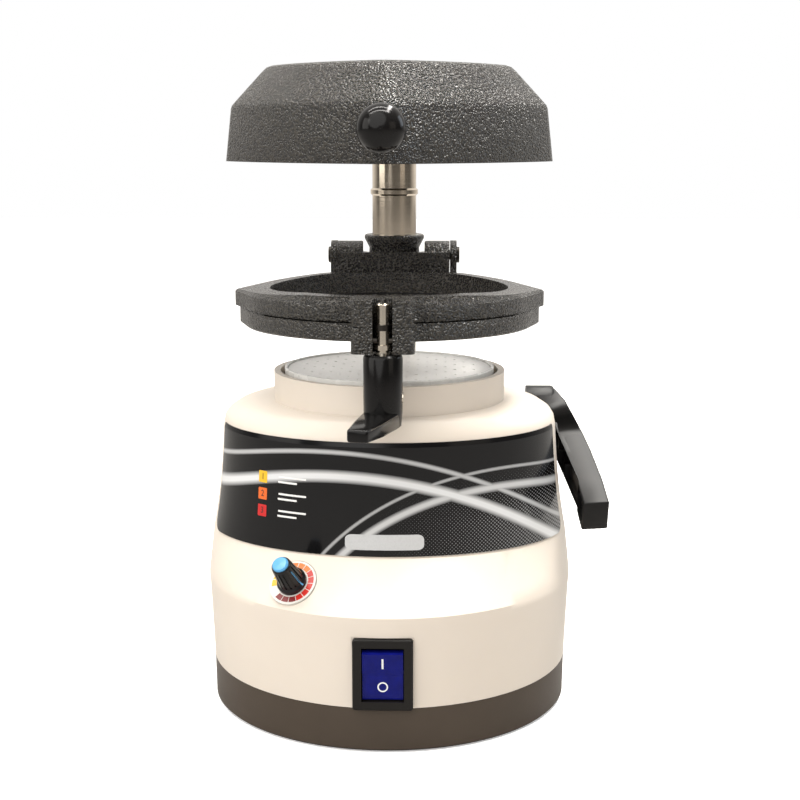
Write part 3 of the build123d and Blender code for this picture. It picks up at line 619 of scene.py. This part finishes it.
class FORMER_OT_levers(bpy.types.Operator):
    """Models the clamp lever under the frame and the suction lever at the side"""

    bl_idname = "former.levers"
    bl_label = "Levers"

    # (radius, height) in mm
    clamp_hub = ((0, 139.4), (6.6, 139.4), (7.6, 140.3), (8.1, 146.0), (8.2, 152.0), (8.2, 168.4),
                 (7.9, 169.4), (7.1, 170.1), (0, 170.1))
    suction_hub = ((0, 77.6), (4.4, 77.6), (4.4, 79.2), (8.2, 79.2), (9.4, 78.7), (10.0, 77.4),
                   (10.0, 65.3), (0, 65.3))
    # y from the pivot, z, width, height in mm
    clamp_arm = ((-1.0, 143.0, 15.4, 6.7), (-20.0, 142.6, 12.5, 6.3), (-36.4, 142.6, 8.6, 5.2))
    # x, y, z, width, height in mm
    suction_arm = ((74.3, 40.0, 128.2, 10.8, 18.6), (78.0, 32.0, 124.5, 12.2, 17.5),
                   (82.2, 21.0, 118.4, 11.8, 15.8), (85.2, 10.0, 113.2, 11.8, 15.3),
                   (87.6, 0.0, 108.2, 11.8, 15.2), (91.0, -20.0, 99.0, 11.8, 15.2),
                   (92.6, -36.0, 92.2, 11.8, 15.0))
    clamp_turned = -14.0    # degrees, towards the left as in the picture
    channel_rim = 0.0018
    channel_depth = 0.0030

    def execute(self, context):
        self.clamp()
        self.suction()
        return {"FINISHED"}

    def clamp(self):
        x, y, _ = joint_named("clamp_turn")["pos_m"]
        bm = bmesh.new()
        spun(bm, self.clamp_hub, Matrix.Translation((x, y, 0)))
        turn = Matrix.Translation((x, y, 0)) @ Matrix.Rotation(math.radians(self.clamp_turned), 4, "Z")
        places = []
        for dy, z, wide, high in self.clamp_arm:
            across, along = Vector((1, 0, 0)), Vector((0, -1, 0))
            places.append(turn @ section((0, dy, z), across, along, wide, high))
        whole, _ = bar(bm, places)
        self.rounded(bm, whole, 0.6, 0.0010)
        piece = finished(bm, "clamp_lever_black", "clamp", [gloss_black("clamp_black")])
        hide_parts("clamp_lever")

    def suction(self):
        _, y, z = joint_named("valve_lever")["pos_m"]
        bm = bmesh.new()
        across = Matrix.Rotation(math.radians(90.0), 4, "Y")
        spun(bm, self.suction_hub, Matrix.Translation((0, y, z)) @ across)
        centres = [Vector(row[:3]) for row in self.suction_arm]
        places = []
        for i, row in enumerate(self.suction_arm):
            along = centres[min(i + 1, len(centres) - 1)] - centres[max(i - 1, 0)]
            places.append(section(centres[i], Vector((1, 0, 0)), along, row[3], row[4]))
        whole, sides = bar(bm, places)
        # a shallow channel in the face towards the housing
        inner = [min(faces, key=lambda f: f.calc_center_median().x) for faces in sides[1:]]
        bmesh.ops.inset_region(bm, faces=inner, thickness=self.channel_rim, depth=0.0,
                               use_even_offset=True, use_boundary=True)
        sunk = bmesh.ops.extrude_face_region(bm, geom=inner)["geom"]
        bmesh.ops.translate(bm, vec=(self.channel_depth, 0, 0),
                            verts=[v for v in sunk if isinstance(v, bmesh.types.BMVert)])
        bmesh.ops.delete(bm, geom=[f for f in inner if f.is_valid], context="FACES_ONLY")
        self.rounded(bm, flood(set(whole)), 0.9, 0.0012)
        piece = finished(bm, "suction_lever_black", "side_lever",
                         [gloss_black("lever_black", 0.34)])
        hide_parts("side_lever")

    def rounded(self, bm, verts, angle, width):
        """Rounds the edges of an arm that turn by more than an angle."""
        edges = [e for e in {e for v in verts for e in v.link_edges} if e.calc_face_angle(0.0) > angle]
        bmesh.ops.bevel(bm, geom=edges, offset=width, offset_type="OFFSET", segments=3, profile=0.5,
                        affect="EDGES", material=-1, clamp_overlap=True)
        crisp(bm)


class FORMER_OT_band(bpy.types.Operator):
    """Prints the black band round the waist with plain generic marks"""

    bl_idname = "former.band"
    bl_label = "Printed band"

    square_x = -0.0610                          # round the band from its middle
    square_heights = (0.1115, 0.1040, 0.0965)
    text_x = -0.0555
    bars = ((0.0150, 0.0010), (0.0105, -0.0012))    # length, height over the square's middle
    waist_radius = 0.0795                       # what turns a place along X into an angle

    def execute(self, context):
        give("label_band", band_gloss())
        surface = surface_of("label_band")
        inks = [print_ink("ink_yellow", (0.80, 0.47, 0.02)),
                print_ink("ink_orange", (0.72, 0.13, 0.015)),
                print_ink("ink_red", (0.55, 0.012, 0.012)),
                print_ink("ink_white", (0.80, 0.80, 0.79)),
                print_ink("ink_dark", (0.012, 0.012, 0.012)),
                print_ink("ink_silver", (0.52, 0.53, 0.54), 0.2)]
        white, dark, silver = 3, 4, 5
        self.wrapped = []
        half = sizes().square / 2
        for i, z in enumerate(self.square_heights):
            self.patch(surface, self.square_x, z, half, half, 0.0006, i)
            digit = text_mesh(str(i + 1), 0.0040)
            self.wrap(surface, digit, self.square_x, z, 2.0, dark)
            for length, dz in self.bars:
                x = self.text_x + length / 2
                self.patch(surface, x, z + dz, length / 2, 0.00042, 0.0004, white)
        self.patch(surface, 0.0, 0.0868, 0.0185, 0.0034, 0.0030, silver)
        self.join(inks)
        return {"FINISHED"}

    def patch(self, surface, x, z, half_x, half_z, corner, ink):
        """A flat rounded rectangle laid on the band."""
        bm = bmesh.new()
        bmesh.ops.create_grid(bm, x_segments=12, y_segments=3, size=0.5)
        for v in bm.verts:
            v.co.x *= 2 * half_x
            v.co.y *= 2 * half_z
        corners = [v for v in bm.verts if len(v.link_edges) == 2]
        bmesh.ops.bevel(bm, geom=corners, offset=min(corner, half_z * 0.95), offset_type="OFFSET",
                        segments=5, profile=0.5, affect="VERTICES", material=-1)
        self.wrap(surface, bm, x, z, 1.0, ink)

    def wrap(self, surface, bm, x, z, lift, ink):
        """Lays a flat mesh on the band: its X runs round the band, its Y goes up."""
        centre = math.asin(x / self.waist_radius)
        radius = 0.068 + 0.010 * abs(math.sin(centre))
        for v in bm.verts:
            turn = centre + v.co.x / radius
            way = Vector((math.sin(turn), -math.cos(turn), 0.0))
            start = Vector((0.0, 0.0, z + v.co.y)) + way * 0.2
            hit, normal, _, _ = surface.ray_cast(start, -way)
            if hit is None:
                raise RuntimeError("a printed mark lies off the band")
            v.co = hit + way * sizes().ink * lift
        for face in bm.faces:
            face.material_index = ink
            face.normal_update()
            centre_out = Vector((face.calc_center_median().x, face.calc_center_median().y, 0.0))
            if face.normal.dot(centre_out) < 0:
                face.normal_flip()
        mesh = bpy.data.meshes.new("mark")
        bm.to_mesh(mesh)
        bm.free()
        self.wrapped.append(mesh)

    def join(self, inks):
        bm = bmesh.new()
        for mesh in self.wrapped:
            bm.from_mesh(mesh)
            bpy.data.meshes.remove(mesh)
        finished(bm, "band_print", "base", inks, smooth=False)


class FORMER_OT_switch_marks(bpy.types.Operator):
    """Prints the on and off marks on the rocker"""

    bl_idname = "former.switch_marks"
    bl_label = "Switch marks"

    on_height, off_height = 0.0056, -0.0052     # from the paddle's middle
    ring_inner, ring_outer = 0.00165, 0.00225
    stroke_width, stroke_length = 0.0008, 0.0048
    lift = 0.00005

    def execute(self, context):
        surface = surface_of("rocker_paddle")
        low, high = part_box("rocker_paddle")
        middle = (low.z + high.z) / 2
        bm = bmesh.new()
        for dz, round_mark in ((self.on_height, False), (self.off_height, True)):
            mark = bmesh.new()
            if round_mark:
                for radius in (self.ring_inner, self.ring_outer):
                    bmesh.ops.create_circle(mark, segments=32, radius=radius)
                bmesh.ops.bridge_loops(mark, edges=mark.edges)
            else:
                bmesh.ops.create_grid(mark, x_segments=1, y_segments=4, size=0.5)
                for v in mark.verts:
                    v.co.x *= self.stroke_width
                    v.co.y *= self.stroke_length
            for v in mark.verts:
                start = Vector((v.co.x, -0.2, middle + dz + v.co.y))
                hit, _, _, _ = surface.ray_cast(start, Vector((0, 1, 0)))
                v.co = hit + Vector((0, -self.lift, 0))
            mesh = bpy.data.meshes.new("mark")
            mark.to_mesh(mesh)
            mark.free()
            bm.from_mesh(mesh)
            bpy.data.meshes.remove(mesh)
        bmesh.ops.recalc_face_normals(bm, faces=bm.faces)
        for face in bm.faces:
            if face.normal.y > 0:
                face.normal_flip()
        white = print_ink("mark_white", (0.85, 0.86, 0.88))
        finished(bm, "switch_marks", "rocker", [white], smooth=False)
        return {"FINISHED"}


class FORMER_OT_dial_print(bpy.types.Operator):
    """Prints the coloured scale round the dial and the pointer on its knob"""

    bl_idname = "former.dial_print"
    bl_label = "Dial print"

    blocks = 15
    first, last, half_block = 190.0, -115.0, 9.9    # degrees
    colour_ends = (0.26, 0.50, 0.84)                # shares of the scale: yellow, orange, red
    scale_radii = (0.0071, 0.0096)
    scale_lift = 0.00006
    pointer_turn = -12.0                            # degrees
    pointer_foot, pointer_step = 0.0022, 0.0009

    def execute(self, context):
        joint = joint_named("dial_turn")
        normal = Vector(joint["axis"]).normalized()
        centre = Vector(joint["pos_m"])
        right = Vector((0, 0, 1)).cross(normal).normalized()
        up = normal.cross(right)
        place = Matrix((right, up, normal)).transposed().to_4x4()
        place.translation = centre + normal * 0.0002
        inks = [print_ink("scale_yellow", (0.80, 0.44, 0.02)),
                print_ink("scale_orange", (0.75, 0.17, 0.01)),
                print_ink("scale_red", (0.55, 0.02, 0.01)),
                print_ink("scale_dark", (0.20, 0.008, 0.008))]
        bm = bmesh.new()
        half = math.radians(self.half_block)
        for i in range(self.blocks):
            share = i / (self.blocks - 1)
            a = math.radians(self.first + (self.last - self.first) * share)
            ink = sum(share >= end for end in self.colour_ends)
            ring = []
            for r in self.scale_radii:
                for turn in (a - half, a, a + half):
                    place_on_dial = (r * math.cos(turn), r * math.sin(turn), self.scale_lift)
                    ring.append(bm.verts.new(place_on_dial))
            for k in (0, 1):
                face = bm.faces.new((ring[k], ring[3 + k], ring[4 + k], ring[k + 1]))
                face.material_index = ink
        bm.transform(place)
        bmesh.ops.recalc_face_normals(bm, faces=bm.faces)
        for face in bm.faces:
            if face.normal.dot(normal) < 0:
                face.normal_flip()
        finished(bm, "dial_scale", "base", inks, smooth=False)
        self.pointer(place, centre, normal)
        return {"FINISHED"}

    def pointer(self, place, centre, normal):
        """Blue line down the side of the knob."""
        surface = surface_of("control_knob")
        bm = bmesh.new()
        rows = []
        for step in range(12):
            axis = centre + normal * (self.pointer_foot + self.pointer_step * step)
            row = []
            for turn in (-4.0, 2.0):
                angle = math.radians(turn + self.pointer_turn)
                outwards = Vector((math.cos(angle), math.sin(angle), 0.0))
                outwards = (place.to_3x3() @ outwards).normalized()
                hit, _, _, _ = surface.ray_cast(axis + outwards * 0.03, -outwards)
                row.append(bm.verts.new(hit + outwards * 0.0001))
            rows.append(row)
        for one, two in zip(rows, rows[1:]):
            bm.faces.new((one[0], one[1], two[1], two[0]))
        blue = print_ink("pointer_blue", (0.10, 0.36, 0.66))
        finished(bm, "knob_pointer", "dial", [blue], smooth=False)


class FORMER_OT_studio(bpy.types.Operator):
    """Builds the pale floor, the soft lights and the camera"""

    bl_idname = "former.studio"
    bl_label = "Studio"

    def execute(self, context):
        self.floor(context)
        self.room(context)
        warm, plain, cool = (1.0, 0.90, 0.78), (1.0, 0.97, 0.92), (0.80, 0.90, 1.0)
        # name, place, size, radiance, colour; the tubes shine straight down
        for name, place, size, radiance, colour in (
                ("tube_front", (-0.15, -0.30, 1.35), (1.5, 0.07), 36.0, plain),
                ("tube_back", (-0.15, 0.20, 1.35), (1.5, 0.07), 30.0, plain),
                ("tube_side", (0.42, 0.35, 1.30), (0.16, 1.3), 30.0, plain),
                ("window_left", (-1.7, -0.7, 0.75), (1.2, 1.2), 2.2, plain),
                ("window_right", (1.6, 0.5, 0.85), (0.7, 0.9), 3.2, cool),
                ("fill_right", (1.2, -1.1, 0.55), (0.8, 0.7), 0.8, warm)):
            self.lamp(context, name, Vector(place), size, radiance, colour)
        sun = bpy.data.lights.new("ceiling", "SUN")
        sun.energy = 2.0
        sun.angle = math.radians(70.0)
        sun.color = (1.0, 0.985, 0.96)
        lamp = bpy.data.objects.new("ceiling", sun)
        lamp.rotation_euler = Vector((0.35, 0.95, -0.70)).to_track_quat("-Z", "Y").to_euler()
        context.scene.collection.objects.link(lamp)
        context.scene.view_settings.view_transform = "Standard"
        data = bpy.data.cameras.new("camera")
        data.lens = 66.66
        data.sensor_width = 36.0
        data.clip_start = 0.05
        camera = bpy.data.objects.new("camera", data)
        camera.location = (0.0238, -0.6752, 0.2582)
        camera.rotation_euler = (math.radians(79.89), 0.0, math.radians(1.6))
        context.scene.collection.objects.link(camera)
        context.scene.camera = camera
        return {"FINISHED"}

    def floor(self, context):
        """White to the camera, greyer to the object so that dark parts stay dark."""
        bm = bmesh.new()
        bmesh.ops.create_grid(bm, x_segments=1, y_segments=1, size=4.0)
        mesh = bpy.data.meshes.new("floor")
        bm.to_mesh(mesh)
        bm.free()
        floor = bpy.data.objects.new("floor", mesh)
        f = Finish("floor_paper")
        f.set(Roughness=0.7, Specular_IOR_Level=0.0)
        seen = f.add("ShaderNodeLightPath").outputs["Is Camera Ray"]
        tone = f.ramp(seen, [(0.0, (0.38, 0.37, 0.36)), (1.0, (0.97, 0.97, 0.97))])
        f.link(tone, f.shader.inputs["Base Color"])
        f.set(Emission_Color=(1.0, 1.0, 1.0))
        f.link(f.spread(seen, 0.0, 0.30), f.shader.inputs["Emission Strength"])
        mesh.materials.append(f.material)
        context.scene.collection.objects.link(floor)

    def room(self, context):
        """White paper for the camera; for the object, a room brighter above and behind."""
        world = bpy.data.worlds.new("studio")
        world.use_nodes = True
        context.scene.world = world
        tree = world.node_tree
        nodes, links = tree.nodes, tree.links
        room = nodes["Background"]
        room.inputs["Color"].default_value = (1.0, 0.96, 0.91, 1.0)
        split = nodes.new("ShaderNodeSeparateXYZ")
        links.new(nodes.new("ShaderNodeTexCoord").outputs["Generated"], split.inputs[0])
        both = nodes.new("ShaderNodeMath")
        for i, (side, span) in enumerate((("Z", (0.05, 0.9, 0.10, 0.50)), ("Y", (0.05, 0.75, 0.0, 0.75)))):
            rise = nodes.new("ShaderNodeMapRange")
            for socket, number in zip(("From Min", "From Max", "To Min", "To Max"), span):
                rise.inputs[socket].default_value = number
            links.new(split.outputs[side], rise.inputs["Value"])
            links.new(rise.outputs["Result"], both.inputs[i])
        links.new(both.outputs[0], room.inputs["Strength"])
        paper = nodes.new("ShaderNodeBackground")
        paper.inputs["Color"].default_value = (1.0, 1.0, 1.0, 1.0)
        mix = nodes.new("ShaderNodeMixShader")
        links.new(nodes.new("ShaderNodeLightPath").outputs["Is Camera Ray"], mix.inputs[0])
        links.new(room.outputs[0], mix.inputs[1])
        links.new(paper.outputs[0], mix.inputs[2])
        links.new(mix.outputs[0], nodes["World Output"].inputs["Surface"])

    def lamp(self, context, name, place, size, radiance, colour):
        """Area lamp of a given radiance, aimed at the object."""
        data = bpy.data.lights.new(name, "AREA")
        data.shape = "RECTANGLE"
        data.size, data.size_y = size
        data.energy = radiance * math.pi * size[0] * size[1]
        data.color = colour
        lamp = bpy.data.objects.new(name, data)
        lamp.location = place
        flat = name.startswith("tube")
        aim = Vector((0, 0, -1)) if flat else Vector((0, 0, 0.15)) - place
        lamp.rotation_euler = (0, 0, 0) if flat else aim.to_track_quat("-Z", "Y").to_euler()
        context.scene.collection.objects.link(lamp)


class FORMER_PT_panel(bpy.types.Panel):
    """Steps of the vacuum former"""

    bl_idname = "FORMER_PT_panel"
    bl_label = "Vacuum former"
    bl_space_type = "VIEW_3D"
    bl_region_type = "UI"
    bl_category = "Former"

    def draw(self, context):
        layout = self.layout
        for group in (context.scene.former_colours, context.scene.former_sizes):
            for name in group.bl_rna.properties.keys():
                if name not in ("rna_type", "name"):
                    layout.prop(group, name)
        for step in STEPS:
            layout.operator(step.bl_idname)


# main runs them all, in this order
STEPS = (FORMER_OT_housing, FORMER_OT_metalwork, FORMER_OT_handles, FORMER_OT_shoulder,
         FORMER_OT_levers, FORMER_OT_band, FORMER_OT_switch_marks, FORMER_OT_dial_print,
         FORMER_OT_studio)
CLASSES = (FormerColours, FormerSizes, *STEPS, FORMER_PT_panel)


def register():
    for item in CLASSES:
        bpy.utils.register_class(item)
    bpy.types.Scene.former_colours = bpy.props.PointerProperty(type=FormerColours)
    bpy.types.Scene.former_sizes = bpy.props.PointerProperty(type=FormerSizes)


def unregister():
    del bpy.types.Scene.former_sizes
    del bpy.types.Scene.former_colours
    for item in reversed(CLASSES):
        bpy.utils.unregister_class(item)


def main():
    register()
    for step in STEPS:
        getattr(bpy.ops.former, step.bl_idname.split(".")[1])()


if __name__ == "__main__":
    main()
